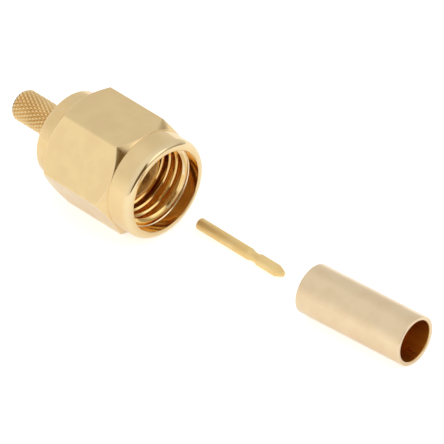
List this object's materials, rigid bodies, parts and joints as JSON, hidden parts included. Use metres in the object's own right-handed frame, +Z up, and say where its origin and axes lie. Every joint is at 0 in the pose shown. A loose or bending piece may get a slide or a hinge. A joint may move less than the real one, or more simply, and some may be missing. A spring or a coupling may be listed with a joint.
{
  "type": "sma connector",
  "caption": "Gold-plated coaxial crimp plug with a captive hexagonal coupling nut, laid out with its loose centre contact and crimp ferrule.",
  "frame": {"origin": "centre of the plug's reference plane, which is the front face of the sleeve, on the plug's axis", "axes": "+X along the plug's axis towards the mate, +Z up from the flat that the nut lies on"},
  "size_m": [0.0382, 0.0092, 0.008],
  "materials": {
    "bright_gold": "bright gold plate on turned brass",
    "body_gold": "gold plate on turned and knurled brass",
    "spring_bronze": "plain spring bronze",
    "silicone": "matte silicone rubber",
    "fluoropolymer": "white turned fluoropolymer",
    "satin_gold": "satin gold plate on turned brass",
    "pale_gold": "thin pale gold plate on drawn tube"
  },
  "bodies": {
    "plug": {"plug_body": "body_gold", "retaining_ring": "spring_bronze", "gasket": "silicone", "insulator": "fluoropolymer", "contact_pin": "satin_gold", "crimp_ferrule": "pale_gold"},
    "nut": {"coupling_nut": "bright_gold"}
  },
  "joints": [
    {"name": "nut_spin", "type": "hinge", "parent": "plug", "child": "nut", "pos_m": [0, 0, 0], "axis": [1, 0, 0], "continuous": true}
  ]
}
